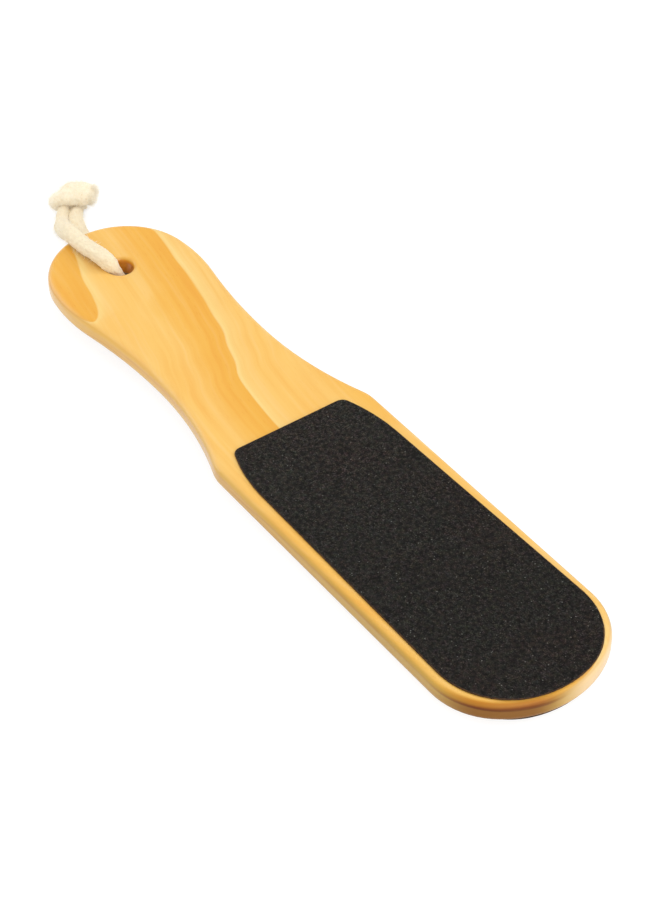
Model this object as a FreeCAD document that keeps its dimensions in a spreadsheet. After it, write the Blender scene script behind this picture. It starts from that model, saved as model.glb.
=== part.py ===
# Foot file: a solid pine paddle with an abrasive sheet glued to each face of
# its blade, and a loop of soft cotton cord knotted through the hang hole.
#
# Everything is drawn with the paddle lying flat: X runs from the handle end
# to the blade tip, Y across, and the wood's underside is the XY plane. The
# finished paddle then leans as it does on a table, because the rear leg of
# the cord lies under the handle and lifts it.

import FreeCAD, Part
import math
import os
import Sketcher

V = FreeCAD.Vector
SAME_PLACE = 1e-4
SAME_VOLUME_SHARE = 0.01

doc = FreeCAD.newDocument("foot_file")

# Driving sizes, in millimetres and degrees

SIZES = {
    # the wooden paddle
    "overall_length": "260",
    "blade_width": "59.8",
    "wood_thickness": "7.5",
    "edge_rounding": "2.5",
    "end_arc_radius": "25.6",
    "palm_arc_radius": "60",
    "waist_from_end": "80",
    "waist_width": "43",
    "neck_arc_radius": "200",
    "flare_arc_radius": "126",
    "shoulder_rounding": "14",
    "tip_corner_from_middle": "5.9",
    "tip_arc_excess": "4.1",
    # the hang hole
    "hole_from_end": "23.5",
    "hole_diameter": "8.8",
    "mouth_rounding": "1.8",
    # the die-cut abrasive sheets
    "sheet_length": "134.9",
    "sheet_tip_margin": "1.5",
    "sheet_side_margin": "4.6",
    "sheet_flare_run": "21.9",
    "sheet_side_taper": "0.95",
    "heel_flare_radius": "60",
    "heel_corner_radius": "3",
    "sheet_corner_from_middle": "0.8",
    "sheet_tip_excess": "9",
    "film_thickness": "0.1",
    "backing_thickness": "0.25",
    "grit_thickness": "0.25",
    # how far off true each sheet was glued by hand
    "front_sheet_shift": "0.6",
    "front_sheet_turn": "0.25",
    "rear_sheet_shift": "0.3",
    "rear_sheet_turn": "0.2",
    # the cotton cord and its knot
    "cord_diameter": "5.8",
    "cord_gap": "0.2",
    "knot_strand_diameter": "4.5",
    "knot_turn_spacing": "4.2",
    "knot_length": "11",
    "knot_width": "16.4",
    "knot_height": "10.2",
    "tail_root_diameter": "3.6",
    "tail_end_diameter": "5",
    "tail_length": "7",
    "tail_spacing": "4.2",
    "tail_spread": "9",
}

sheet = doc.addObject("Spreadsheet::Sheet", "sizes")
for row, (alias, value) in enumerate(SIZES.items(), start=1):
    sheet.set(f"A{row}", alias)
    sheet.set(f"B{row}", value)
    sheet.setAlias(f"B{row}", alias)
doc.recompute()


def size(alias):
    return float(sheet.get(alias))


# Helpers for tangent outlines

def arc(sketch, centre, radius, first, last, turn):
    """An arc from first to last, and which of its ends comes first; turn is
    1 for counter-clockwise and -1 for clockwise."""
    circle = Part.Circle(centre, V(0, 0, 1), radius)
    start = math.atan2(first.y - centre.y, first.x - centre.x)
    stop = math.atan2(last.y - centre.y, last.x - centre.x)
    if turn > 0:
        return sketch.addGeometry(Part.ArcOfCircle(circle, start, stop)), 1, 2
    return sketch.addGeometry(Part.ArcOfCircle(circle, stop, start)), 2, 1


def line(sketch, first, last):
    return sketch.addGeometry(Part.LineSegment(first, last)), 1, 2


def bind(sketch, expression, *constraint):
    """A dimension whose value follows the sheet."""
    index = sketch.addConstraint(Sketcher.Constraint(*constraint))
    sketch.setExpression(f"Constraints[{index}]", expression)


def fix(sketch, *constraint):
    sketch.addConstraint(Sketcher.Constraint(*constraint))


def half_height(sketch, expression, point, value, above):
    """How far a point lies to either side of the X axis."""
    ends = (-1, 1, *point) if above else (*point, -1, 1)
    bind(sketch, expression, "DistanceY", *ends, value)


def close_loop(sketch, pieces):
    """Every piece is tangent to the next one, all the way round."""
    for piece, following in zip(pieces, pieces[1:] + pieces[:1]):
        fix(sketch, "Tangent", piece[0], piece[2], following[0], following[1])


def toward(start, target, length):
    return start + (target - start).normalize() * length


def circles_meet(centre_a, radius_a, centre_b, radius_b, side):
    """Where two circles cross, on the side of the line from a to b."""
    apart = (centre_b - centre_a).Length
    along = (apart ** 2 + radius_a ** 2 - radius_b ** 2) / (2 * apart)
    across = math.sqrt(radius_a ** 2 - along ** 2)
    unit = (centre_b - centre_a).normalize()
    return centre_a + unit * along + V(-unit.y, unit.x, 0) * side * across


def flip(point):
    return V(point.x, -point.y, 0)


def plane_of(body, role):
    return next(item for item in body.Origin.OriginFeatures if item.Role == role)


def sketch_on_face(body, name, height="0", shift="0", turn="0"):
    """A sketch parallel to the paddle's faces, at a height."""
    sketch = body.newObject("Sketcher::SketchObject", name)
    sketch.AttachmentSupport = [(plane_of(body, "XY_Plane"), "")]
    sketch.MapMode = "FlatFace"
    sketch.setExpression("AttachmentOffset.Base.z", height)
    sketch.setExpression("AttachmentOffset.Base.y", shift)
    sketch.setExpression("AttachmentOffset.Rotation.Angle", turn)
    return sketch


def new_body(name):
    body = doc.addObject("PartDesign::Body", name)
    body.Label = name
    return body


def draw_paddle_outline(sketch):
    """The outline is a chain of tangent arcs: the round handle end, the palm
    swell, the waist, the flare, the shoulder and the blade with its rounded
    tip, drawn up one side and back down the other."""
    half_length = size("overall_length") / 2
    half_blade = size("blade_width") / 2
    half_waist = size("waist_width") / 2
    end_r = size("end_arc_radius")
    palm_r = size("palm_arc_radius")
    neck_r = size("neck_arc_radius")
    flare_r = size("flare_arc_radius")
    shoulder_r = size("shoulder_rounding")
    corner_y = size("tip_corner_from_middle")
    corner_r = half_blade - corner_y
    tip_r = half_blade + size("tip_arc_excess")

    waist = V(size("waist_from_end") - half_length, half_waist, 0)
    end = V(end_r - half_length, 0, 0)
    neck = waist + V(0, neck_r, 0)
    flare = waist + V(0, flare_r, 0)
    palm = circles_meet(end, palm_r - end_r, neck, neck_r + palm_r, -1)
    shoulder_y = half_blade - shoulder_r
    rise = flare.y - shoulder_y
    reach = math.sqrt((flare_r + shoulder_r) ** 2 - rise ** 2)
    shoulder = V(waist.x + reach, shoulder_y, 0)
    tip = V(half_length - tip_r, 0, 0)
    corner_x = tip.x + math.sqrt((tip_r - corner_r) ** 2 - corner_y ** 2)
    corner = V(corner_x, corner_y, 0)

    end_palm = toward(palm, end, palm_r)
    palm_neck = toward(palm, neck, palm_r)
    flare_shoulder = toward(flare, shoulder, flare_r)
    shoulder_side = shoulder + V(0, shoulder_r, 0)
    side_corner = corner + V(0, corner_r, 0)
    corner_tip = toward(tip, corner, tip_r)

    def side(turn, place):
        def bend(centre, radius, first, last, way):
            return arc(sketch, place(centre), radius, place(first), place(last), way)

        return [
            bend(palm, palm_r, end_palm, palm_neck, -turn),
            bend(neck, neck_r, palm_neck, waist, turn),
            bend(flare, flare_r, waist, flare_shoulder, turn),
            bend(shoulder, shoulder_r, flare_shoulder, shoulder_side, -turn),
            line(sketch, place(shoulder_side), place(side_corner)),
            bend(corner, corner_r, side_corner, corner_tip, -turn),
        ]

    end_arc = arc(sketch, end, end_r, flip(end_palm), end_palm, -1)
    upper = side(1, V)
    tip_arc = arc(sketch, tip, tip_r, corner_tip, flip(corner_tip), -1)
    lower = side(-1, flip)
    back = [(piece, last, first) for piece, first, last in reversed(lower)]
    close_loop(sketch, [end_arc, *upper, tip_arc, *back])

    bind(sketch, "sizes.end_arc_radius", "Radius", end_arc[0], end_r)
    tip_radius = "(sizes.blade_width / 2 + sizes.tip_arc_excess)"
    corner_radius = "sizes.blade_width / 2 - sizes.tip_corner_from_middle"
    bind(sketch, tip_radius, "Radius", tip_arc[0], tip_r)
    fix(sketch, "PointOnObject", end_arc[0], 3, -1)
    fix(sketch, "PointOnObject", tip_arc[0], 3, -1)
    to_end = "sizes.overall_length / 2 - sizes.end_arc_radius"
    to_tip = f"sizes.overall_length / 2 - {tip_radius}"
    to_waist = "sizes.overall_length / 2 - sizes.waist_from_end"
    bind(sketch, to_end, "DistanceX", end_arc[0], 3, -1, 1, -end.x)
    bind(sketch, to_tip, "DistanceX", -1, 1, tip_arc[0], 3, tip.x)
    for chain in (upper, lower):
        palm_arc, neck_arc, flare_arc, shoulder_arc, blade_side, corner_arc = chain
        bind(sketch, "sizes.palm_arc_radius", "Radius", palm_arc[0], palm_r)
        bind(sketch, "sizes.neck_arc_radius", "Radius", neck_arc[0], neck_r)
        bind(sketch, "sizes.flare_arc_radius", "Radius", flare_arc[0], flare_r)
        bind(sketch, "sizes.shoulder_rounding", "Radius", shoulder_arc[0], shoulder_r)
        bind(sketch, corner_radius, "Radius", corner_arc[0], corner_r)
        bind(sketch, to_waist, "DistanceX", neck_arc[0], neck_arc[2], -1, 1, -waist.x)
        bind(sketch, to_waist, "DistanceX", neck_arc[0], 3, -1, 1, -waist.x)
        fix(sketch, "Horizontal", blade_side[0])
        waist_point = (neck_arc[0], neck_arc[2])
        side_point = (blade_side[0], 1)
        half_height(sketch, "sizes.waist_width / 2", waist_point, half_waist, chain is upper)
        half_height(sketch, "sizes.blade_width / 2", side_point, half_blade, chain is upper)


def draw_sheet_outline(sketch):
    """The die-cut sheet: a straight heel with rounded corners, flanks that
    flare beside the shoulders, nearly straight sides and a rounded tip."""
    half_flare = size("blade_width") / 2 - size("sheet_side_margin")
    tip_x = size("overall_length") / 2 - size("sheet_tip_margin")
    heel_x = tip_x - size("sheet_length")
    taper = math.radians(size("sheet_side_taper"))
    flare_r = size("heel_flare_radius")
    heel_r = size("heel_corner_radius")
    corner_r = half_flare - size("sheet_corner_from_middle")
    tip_r = half_flare + size("sheet_tip_excess")

    run = size("sheet_flare_run")
    joint = V(heel_x + run, half_flare, 0)
    along = V(math.cos(taper), math.sin(taper), 0)
    out = V(-along.y, along.x, 0)
    flare = joint - out * flare_r
    heel_corner_x = heel_x + heel_r
    drop = math.sqrt((flare_r - heel_r) ** 2 - (heel_corner_x - flare.x) ** 2)
    heel_corner = V(heel_corner_x, flare.y + drop, 0)
    heel_point = heel_corner - V(heel_r, 0, 0)
    corner_flare = toward(flare, heel_corner, flare_r)
    tip = V(tip_x - tip_r, 0, 0)
    offset = joint - out * corner_r - tip
    middle = offset.dot(along)
    length = -middle + math.sqrt(middle ** 2 - offset.dot(offset) + (tip_r - corner_r) ** 2)
    corner = tip + offset + along * length
    side_corner = corner + out * corner_r
    corner_tip = toward(tip, corner, tip_r)

    def side(turn, place):
        def bend(centre, radius, first, last):
            return arc(sketch, place(centre), radius, place(first), place(last), -turn)

        return [
            bend(heel_corner, heel_r, heel_point, corner_flare),
            bend(flare, flare_r, corner_flare, joint),
            line(sketch, place(joint), place(side_corner)),
            bend(corner, corner_r, side_corner, corner_tip),
        ]

    heel = line(sketch, flip(heel_point), heel_point)
    upper = side(1, V)
    tip_arc = arc(sketch, tip, tip_r, corner_tip, flip(corner_tip), -1)
    lower = side(-1, flip)
    back = [(piece, last, first) for piece, first, last in reversed(lower)]
    close_loop(sketch, [heel, *upper, tip_arc, *back])

    to_tip = "sizes.overall_length / 2 - sizes.sheet_tip_margin"
    to_heel = f"sizes.sheet_length - ({to_tip})"
    flare_reach = "(sizes.blade_width / 2 - sizes.sheet_side_margin)"
    tip_radius = f"({flare_reach} + sizes.sheet_tip_excess)"
    corner_radius = f"{flare_reach} - sizes.sheet_corner_from_middle"
    bind(sketch, tip_radius, "Radius", tip_arc[0], tip_r)
    fix(sketch, "PointOnObject", tip_arc[0], 3, -1)
    bind(sketch, f"{to_tip} - {tip_radius}", "DistanceX", -1, 1, tip_arc[0], 3, tip.x)
    fix(sketch, "Vertical", heel[0])
    bind(sketch, to_heel, "DistanceX", heel[0], 1, -1, 1, -heel_x)
    for chain in (upper, lower):
        heel_arc, flare_arc, long_side, corner_arc = chain
        bind(sketch, "sizes.heel_corner_radius", "Radius", heel_arc[0], heel_r)
        bind(sketch, "sizes.heel_flare_radius", "Radius", flare_arc[0], flare_r)
        bind(sketch, corner_radius, "Radius", corner_arc[0], corner_r)
        joint_point = (long_side[0], 1)
        half_height(sketch, flare_reach, joint_point, half_flare, chain is upper)
        bind(sketch, "sizes.sheet_flare_run", "DistanceX", heel[0], 1, *joint_point, run)
        ends = (-1, long_side[0]) if chain is upper else (long_side[0], -1)
        bind(sketch, "sizes.sheet_side_taper", "Angle", *ends, taper)


def compare_volume(name, volume, radius, length):
    """A round hole or tube has to hold its section times its length."""
    expected = math.pi * radius ** 2 * length
    print(name, "length", round(length, 1), "volume", round(volume, 1), "of", round(expected, 1))
    if abs(volume - expected) > expected * SAME_VOLUME_SHARE:
        raise SystemExit(f"{name} has the wrong volume")


# The wooden paddle

def make_paddle():
    body = new_body("paddle")
    outline = sketch_on_face(body, "paddle_outline")
    draw_paddle_outline(outline)
    blank = body.newObject("PartDesign::Pad", "blank")
    blank.Profile = outline
    blank.setExpression("Length", "sizes.wood_thickness")
    doc.recompute()
    solid_volume = body.Shape.Volume

    circle = sketch_on_face(body, "hole_circle")
    hole_r = size("hole_diameter") / 2
    from_origin = size("overall_length") / 2 - size("hole_from_end")
    rim = circle.addGeometry(Part.Circle(V(-from_origin, 0, 0), V(0, 0, 1), hole_r))
    bind(circle, "sizes.hole_diameter / 2", "Radius", rim, hole_r)
    fix(circle, "PointOnObject", rim, 3, -1)
    to_hole = "sizes.overall_length / 2 - sizes.hole_from_end"
    bind(circle, to_hole, "DistanceX", rim, 3, -1, 1, from_origin)
    hole = body.newObject("PartDesign::Pocket", "hang_hole")
    hole.Profile = circle
    hole.Type = "ThroughAll"
    hole.Reversed = True
    doc.recompute()
    bored = solid_volume - body.Shape.Volume
    compare_volume("hang hole", bored, hole_r, size("wood_thickness"))

    faces = (0, size("wood_thickness"))
    for name, radius, wanted in (
        ("rounded_edges", "edge_rounding", lambda edge: not is_rim(edge, hole_r)),
        ("rounded_mouths", "mouth_rounding", lambda edge: is_rim(edge, hole_r)),
    ):
        base = body.Tip
        edges = [
            f"Edge{number}"
            for number, edge in enumerate(base.Shape.Edges, start=1)
            if lies_on(edge, faces) and wanted(edge)
        ]
        fillet = body.newObject("PartDesign::Fillet", name)
        fillet.Base = (base, edges)
        fillet.setExpression("Radius", f"sizes.{radius}")
        doc.recompute()
    return body


def is_rim(edge, radius):
    round_edge = isinstance(edge.Curve, Part.Circle) and edge.isClosed()
    return round_edge and near(edge.Curve.Radius, radius)


def lies_on(edge, heights):
    box = edge.BoundBox
    return near(box.ZMin, box.ZMax) and any(near(box.ZMin, height) for height in heights)


def near(value, other):
    return abs(value - other) < SAME_PLACE


# The abrasive sheets

def make_layer(name, lowest, thickness, shift, turn):
    """One layer of a sheet: a flat cut of the sheet's outline."""
    body = new_body(name)
    outline = sketch_on_face(body, f"{name}_outline", lowest, shift, turn)
    draw_sheet_outline(outline)
    layer = body.newObject("PartDesign::Pad", f"{name}_layer")
    layer.Profile = outline
    layer.setExpression("Length", f"sizes.{thickness}")
    return body


def make_sheets():
    film = "sizes.film_thickness"
    backing = "sizes.backing_thickness"
    grit = "sizes.grit_thickness"
    wood = "sizes.wood_thickness"
    front = ("-sizes.front_sheet_shift", "sizes.front_sheet_turn")
    rear = ("sizes.rear_sheet_shift", "-sizes.rear_sheet_turn")
    return [
        make_layer("front_adhesive_film", wood, "film_thickness", *front),
        make_layer("front_backing_sheet", f"{wood} + {film}", "backing_thickness", *front),
        make_layer("front_grit_coat", f"{wood} + {film} + {backing}", "grit_thickness", *front),
        make_layer("rear_adhesive_film", f"-{film}", "film_thickness", *rear),
        make_layer("rear_backing_sheet", f"-{film} - {backing}", "backing_thickness", *rear),
        make_layer("rear_grit_coat", f"-{film} - {backing} - {grit}", "grit_thickness", *rear),
    ]


# How the paddle leans on the table

def lean():
    """The handle is lifted by the cord under it, so the paddle rests on the
    tip of its rear sheet and on the cord. Z is zero at the table."""
    half_length = size("overall_length") / 2
    half_wood = size("wood_thickness") / 2
    sheet_depth = size("film_thickness") + size("backing_thickness") + size("grit_thickness")
    tip_x = half_length - size("sheet_tip_margin")
    hole_x = size("hole_from_end") - half_length
    lift = size("cord_diameter") + size("cord_gap") - sheet_depth
    angle = math.atan2(lift, tip_x - hole_x)
    height = tip_x * math.sin(angle) + sheet_depth * math.cos(angle)
    base = V(-half_wood * math.sin(angle), 0, height)
    return FreeCAD.Placement(base, FreeCAD.Rotation(V(0, 1, 0), math.degrees(angle)))


# The cord: one length of soft cotton, threaded through the hang hole.
# Each leg starts halfway through the hole and ends where it enters the knot.
# The front leg lies on the handle, drops off its end and meets the rear leg,
# which comes out underneath and runs along the table.

FRONT_LEG = [
    (-106.5, -1.0, 9.8),
    (-106.5, -1.0, 16.9),
    (-121.0, -5.0, 17.3),
    (-132.8, -6.0, 17.3),
    (-140.6, -3.2, 12.9),
    (-146.0, 0.2, 8.2),
    (-151.2, 3.7, 6.2),
    (-156.4, 7.6, 6.2),
]

REAR_LEG = [
    (-106.5, -1.0, 9.8),
    (-106.5, -1.0, 2.9),
    (-120.8, 0.7, 2.9),
    (-133.2, 3.7, 2.9),
    (-141.9, 5.4, 2.9),
    (-148.6, 8.0, 2.9),
    (-153.4, 11.6, 2.9),
]

ARC_SHARE = 0.45


def leg_edges(points, through_hole):
    """Straight runs joined by tangent arcs, each as large as its two runs
    allow. The run through the hole counts whole, though it is cut in half
    where the two legs meet."""
    runs = [(after - before).Length for before, after in zip(points, points[1:])]
    runs[0] = through_hole
    edges = []
    start = points[0]
    radii = []
    for number, corner in enumerate(points[1:-1], start=1):
        back = (points[number - 1] - corner).normalize()
        ahead = (points[number + 1] - corner).normalize()
        turn = math.pi - back.getAngle(ahead)
        tangent = ARC_SHARE * min(runs[number - 1], runs[number])
        radius = tangent / math.tan(turn / 2)
        enter = corner + back * tangent
        leave = corner + ahead * tangent
        inward = (back + ahead).normalize()
        middle = corner + inward * (radius / math.cos(turn / 2) - radius)
        edges.append(Part.LineSegment(start, enter).toShape())
        edges.append(Part.Arc(enter, middle, leave).toShape())
        radii.append(round(radius, 1))
        start = leave
    edges.append(Part.LineSegment(start, points[-1]).toShape())
    print("bend radii", radii)
    return edges


def make_leg(name, route, through_hole):
    """A round tube swept along the leg's path."""
    points = [V(*point) for point in route]
    spine = doc.addObject("Part::Feature", f"{name}_path")
    spine.Shape = Part.Wire(leg_edges(points, through_hole))
    ring = doc.addObject("Part::Circle", f"{name}_section")
    ring.setExpression("Radius", "sizes.cord_diameter / 2")
    facing = FreeCAD.Rotation(V(0, 0, 1), points[1] - points[0])
    ring.Placement = FreeCAD.Placement(points[0], facing)
    tube = doc.addObject("Part::Sweep", name)
    tube.Label = name
    tube.Sections = [ring]
    tube.Spine = (spine, [f"Edge{number}" for number, _ in enumerate(spine.Shape.Edges, 1)])
    tube.Solid = True
    tube.Frenet = False
    doc.recompute()
    compare_volume(name, tube.Shape.Volume, size("cord_diameter") / 2, spine.Shape.Length)
    return tube


# The knot: both legs run on through it, inside two turns of the cord that
# lie side by side round them, and the two cut ends leave it sideways.

def knot_frame():
    """The middle of the two turns, the way the legs run into them, and the
    way across."""
    front, rear = V(*FRONT_LEG[-1]), V(*REAR_LEG[-1])
    run_in = front - V(*FRONT_LEG[-2])
    along = V(run_in.x, run_in.y, 0).normalize()
    across = V(along.y, -along.x, 0)
    middle = (front + rear) / 2 + along * (size("knot_length") / 2)
    middle.z = size("knot_height") / 2
    return middle, along, across


def knot_turn(centre, across):
    """One turn of cord: a tube round a flat loop of two runs and two bends."""
    strand_r = size("knot_strand_diameter") / 2
    bend = size("knot_height") / 2 - strand_r
    up = V(0, 0, bend)
    reach = across * (size("knot_width") / 2 - strand_r)
    side = reach - across * bend
    path = Part.Wire([
        Part.LineSegment(centre - side + up, centre + side + up).toShape(),
        Part.Arc(centre + side + up, centre + reach, centre + side - up).toShape(),
        Part.LineSegment(centre + side - up, centre - side - up).toShape(),
        Part.Arc(centre - side - up, centre - reach, centre - side + up).toShape(),
    ])
    ring = Part.Wire(Part.Circle(centre - side + up, across, strand_r).toShape())
    return path.makePipeShell([ring], True, False)


def make_knot():
    middle, along, across = knot_frame()
    cord_r = size("cord_diameter") / 2
    length = size("knot_length")
    solid = Part.makeCylinder(cord_r, length, V(*FRONT_LEG[-1]), along)
    solid = solid.fuse(Part.makeCylinder(cord_r, length, V(*REAR_LEG[-1]), along))
    for side in (-1, 1):
        centre = middle + along * (side * size("knot_turn_spacing") / 2)
        solid = solid.fuse(knot_turn(centre, across))
    knot = doc.addObject("Part::Feature", "cord_knot")
    knot.Label = "cord_knot"
    knot.Shape = solid.removeSplitter()
    return knot


def make_tail(name, knot, side):
    """A short frayed end that leaves the knot sideways and opens out."""
    middle, along, across = knot_frame()
    inside = across * (size("knot_width") / 2 - size("knot_strand_diameter") / 2)
    root = middle + along * (side * size("tail_spacing") / 2) + inside
    turned = FreeCAD.Rotation(V(0, 0, 1), side * size("tail_spread"))
    heading = FreeCAD.Rotation(V(0, 0, 1), turned.multVec(across))
    cone = doc.addObject("Part::Cone", f"{name}_cone")
    cone.setExpression("Radius1", "sizes.tail_root_diameter / 2")
    cone.setExpression("Radius2", "sizes.tail_end_diameter / 2")
    cone.setExpression("Height", "sizes.tail_length")
    cone.Placement = FreeCAD.Placement(root, heading)
    tail = doc.addObject("Part::Cut", name)
    tail.Label = name
    tail.Base = cone
    tail.Tool = knot
    return tail


# The whole part

def make_part():
    leaning = [make_paddle(), *make_sheets()]
    for body in leaning:
        body.Placement = lean()
    through_hole = (V(*FRONT_LEG[1]) - V(*REAR_LEG[1])).Length
    knot = make_knot()
    return [
        *leaning,
        make_leg("cord_front_leg", FRONT_LEG, through_hole),
        make_leg("cord_rear_leg", REAR_LEG, through_hole),
        knot,
        make_tail("frayed_tail_near", knot, -1),
        make_tail("frayed_tail_far", knot, 1),
    ]


def check_and_write(nodes):
    doc.recompute()
    for item in doc.Objects:
        if "Invalid" in item.State or "Error" in item.State:
            raise SystemExit(f"{item.Name} failed: {item.State}")
    os.makedirs("parts", exist_ok=True)
    for node in nodes:
        shape = node.Shape
        if shape.isNull() or not shape.isValid() or len(shape.Solids) != 1:
            raise SystemExit(f"{node.Label} is not one valid solid")
        print(node.Label, "volume", round(shape.Volume, 1), "faces", len(shape.Faces))
        shape.exportStep(f"parts/{node.Label}.step")


check_and_write(make_part())
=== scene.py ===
import math
import random

import bmesh
import bpy
import numpy as np
from mathutils import Matrix, Vector, noise


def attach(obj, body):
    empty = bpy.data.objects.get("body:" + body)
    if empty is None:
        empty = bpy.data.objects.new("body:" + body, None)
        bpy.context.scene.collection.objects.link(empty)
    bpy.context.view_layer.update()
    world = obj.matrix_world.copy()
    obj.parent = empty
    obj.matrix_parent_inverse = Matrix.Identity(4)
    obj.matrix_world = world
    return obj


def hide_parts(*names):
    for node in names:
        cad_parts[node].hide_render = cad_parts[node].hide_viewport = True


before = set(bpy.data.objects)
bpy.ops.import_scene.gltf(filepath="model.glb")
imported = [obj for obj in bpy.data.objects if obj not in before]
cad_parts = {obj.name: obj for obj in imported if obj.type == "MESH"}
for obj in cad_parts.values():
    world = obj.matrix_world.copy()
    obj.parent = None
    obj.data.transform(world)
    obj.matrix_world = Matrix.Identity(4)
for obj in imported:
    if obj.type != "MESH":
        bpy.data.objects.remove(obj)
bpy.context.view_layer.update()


# Camera. It stands beyond the blade's near corner and looks back along the
# file, 41 degrees down and rolled by less than a degree, through a long lens.
EYE = Vector((0.467776, -0.319255, 0.500907))
TO_RIGHT = Vector((0.585828, 0.810322, -0.013531))
TO_TOP = Vector((-0.528022, 0.394296, 0.752146))
LENS = 96

camera = bpy.data.objects.new("camera", bpy.data.cameras.new("camera"))
camera.data.lens = LENS
camera.data.clip_start = 0.01
facing = Matrix((TO_RIGHT, TO_TOP, TO_RIGHT.cross(TO_TOP))).transposed()
camera.matrix_world = Matrix.Translation(EYE) @ facing.to_4x4()
bpy.context.scene.collection.objects.link(camera)
bpy.context.scene.camera = camera


# Hanging cord. One length of soft undyed cotton, twelve yarns laid loosely
# together, threaded through the hang hole. One leg lies over the end of the
# handle and drops to the table, the other runs out underneath it.
CORD_THICK = 0.0058
CORD_STEP = 0.00035
CORD_SIDES = 96
YARNS = 12
YARN_GROOVE = 0.00011
YARN_WAVES = (0.011, 0.019, 0.033)
YARN_SWELL_LENGTH = 0.021
LAY_LENGTH = 0.034
LEG_LUMP = 0.00042
LEG_LUMPS_PER_METRE = 700
CENTIMETRES = 100
KNOT_ALONG = Vector((-0.8, 0.6, 0.0))
KNOT_ACROSS = Vector((0.6, 0.8, 0.0))
FRONT_LEG = [
    (-0.1066, -0.0003, 0.0066),
    (-0.1054, -0.0039, 0.0175),
    (-0.1195, -0.0061, 0.0168),
    (-0.1278, -0.0063, 0.0173),
    (-0.1348, -0.0044, 0.0130),
    (-0.1420, -0.0012, 0.0090),
    (-0.1482, 0.0015, 0.0042),
    (-0.1527, 0.0042, 0.0030),
    (-0.1562, 0.0066, 0.0032),
    (-0.1592, 0.0092, 0.0042),
]
REAR_LEG = [
    (-0.1064, 0.0001, 0.0082),
    (-0.1057, 0.0010, 0.0024),
    (-0.1205, 0.0010, 0.0029),
    (-0.1300, 0.0032, 0.0029),
    (-0.1390, 0.0049, 0.0029),
    (-0.1467, 0.0066, 0.0029),
    (-0.1517, 0.0086, 0.0029),
    (-0.1553, 0.0115, 0.0031),
    (-0.1582, 0.0137, 0.0040),
]


def smooth_line(name, places):
    """Points close together on the smooth line that the places steer."""
    line = bpy.data.curves.new(name, "CURVE")
    line.dimensions = "3D"
    line.resolution_u = 32
    spline = line.splines.new("NURBS")
    spline.points.add(len(places) - 1)
    for point, place in zip(spline.points, places):
        point.co = (*place, 1)
    spline.order_u = 3
    spline.use_endpoint_u = True
    holder = bpy.data.objects.new(name, line)
    mesh = bpy.data.meshes.new_from_object(holder)
    points = np.array([vertex.co for vertex in mesh.vertices])
    bpy.data.objects.remove(holder)
    bpy.data.curves.remove(line)
    bpy.data.meshes.remove(mesh)
    return points


def even_steps(points, step):
    """The same line in equal steps, and how far along it each one is."""
    run = np.r_[0, np.cumsum(np.linalg.norm(np.diff(points, axis=0), axis=1))]
    along = np.linspace(0, run[-1], max(2, int(run[-1] / step)))
    places = np.stack([np.interp(along, run, points[:, axis]) for axis in range(3)], 1)
    return places, along


def carried_frames(places):
    """Two directions square to the line, carried along it without twist."""
    ahead = np.gradient(places, axis=0)
    ahead /= np.linalg.norm(ahead, axis=1)[:, None]
    first = np.cross(ahead[0], (0.3, 0.5, 0.8))
    side = [first / np.linalg.norm(first)]
    for forward in ahead[1:]:
        turned = side[-1] - forward * (side[-1] @ forward)
        side.append(turned / np.linalg.norm(turned))
    side = np.array(side)
    return side, np.cross(ahead, side)


def lump_at(spot, finer, finest):
    """How far lumpy cotton stands out at a spot, from -1 to 1."""
    return noise.noise(spot) * 0.5 + noise.noise(spot * finer) * 0.3 + noise.noise(spot * finest) * 0.2


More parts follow.
